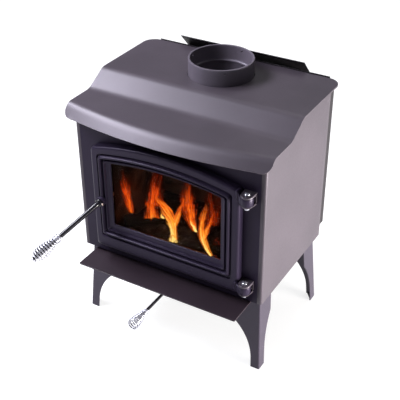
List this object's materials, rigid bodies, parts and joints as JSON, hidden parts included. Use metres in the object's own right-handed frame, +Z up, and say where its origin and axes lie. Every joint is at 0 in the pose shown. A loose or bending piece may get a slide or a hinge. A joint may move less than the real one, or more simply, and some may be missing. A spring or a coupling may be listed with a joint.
{
  "type": "wood burning stove",
  "caption": "Small free-standing steel wood stove on splayed legs, with an arched cast door with glass, a formed top with a round flue collar, a coil-handled latch and a sliding air control.",
  "frame": {"origin": "on the floor, at the centre of the stove's footprint box", "axes": "+X to the right of someone facing the door, +Y towards the back, +Z up"},
  "size_m": [0.554, 0.6184, 0.6985],
  "materials": {
    "stove_paint": "satin high-temperature paint, charcoal with a purple cast",
    "dark_plate": "black heat-resistant paint on steel plate",
    "cast_iron": "painted cast iron, fine grain",
    "collar_iron": "painted collar with a worn rim",
    "bare_steel": "heat-dulled stainless steel",
    "black_rod": "black painted round bar",
    "chrome": "bright chrome",
    "door_glass": "clear ceramic glass",
    "firebrick": "sooty refractory brick",
    "fibre_board": "sooty ceramic fibre board",
    "rope": "graphite-coated glass-fibre rope"
  },
  "bodies": {
    "stove_body": {"firebox": "dark_plate", "front_plate": "stove_paint", "left_side_panel": "stove_paint", "right_side_panel": "stove_paint", "top_plate": "stove_paint", "rear_heat_shield": "dark_plate", "rear_air_duct": "dark_plate", "flue_collar": "collar_iron", "base_plate": "dark_plate", "leg_front_left": "stove_paint", "leg_front_right": "stove_paint", "leg_rear_left": "stove_paint", "leg_rear_right": "stove_paint", "ash_lip": "stove_paint", "air_inlet_box": "dark_plate", "floor_brick_1": "firebrick", "floor_brick_2": "firebrick", "floor_brick_3": "firebrick", "floor_brick_4": "firebrick", "rear_brick_1": "firebrick", "rear_brick_2": "firebrick", "rear_brick_3": "firebrick", "left_brick_1": "firebrick", "left_brick_2": "firebrick", "right_brick_1": "firebrick", "right_brick_2": "firebrick", "left_air_manifold": "bare_steel", "right_air_manifold": "bare_steel", "air_tube_front": "bare_steel", "air_tube_middle": "bare_steel", "air_tube_rear": "bare_steel", "left_baffle_board": "fibre_board", "right_baffle_board": "fibre_board", "airwash_plate": "bare_steel", "latch_catch": "bare_steel", "hinge_bracket_upper": "cast_iron", "hinge_bracket_lower": "cast_iron", "hinge_pin_upper": "chrome", "hinge_pin_lower": "chrome", "hinge_nut_upper": "chrome", "hinge_nut_lower": "chrome"},
    "door": {"door_frame": "cast_iron", "door_glass": "door_glass", "glass_gasket": "rope", "door_gasket": "rope", "glass_retainer_top": "bare_steel", "glass_retainer_bottom": "bare_steel", "retainer_screw_top_left": "bare_steel", "retainer_screw_top_right": "bare_steel", "retainer_screw_bottom_left": "bare_steel", "retainer_screw_bottom_right": "bare_steel"},
    "latch_handle": {"handle_rod": "black_rod", "handle_grip": "chrome", "latch_cam": "bare_steel", "latch_nut": "bare_steel"},
    "air_control": {"air_control_rod": "black_rod", "air_control_grip": "chrome", "air_damper": "bare_steel"}
  },
  "joints": [
    {"name": "door_hinge", "type": "hinge", "parent": "stove_body", "child": "door", "pos_m": [0.223, -0.1088, 0.385], "axis": [0, 0, 1], "range_deg": [0, 115]},
    {"name": "handle_turn", "type": "hinge", "parent": "door", "child": "latch_handle", "pos_m": [-0.178, -0.1288, 0.383], "axis": [0, -1, 0], "range_deg": [0, 60]},
    {"name": "air_slide", "type": "slide", "parent": "stove_body", "child": "air_control", "axis": [0, 1, 0], "range_m": [0, 0.045]}
  ]
}
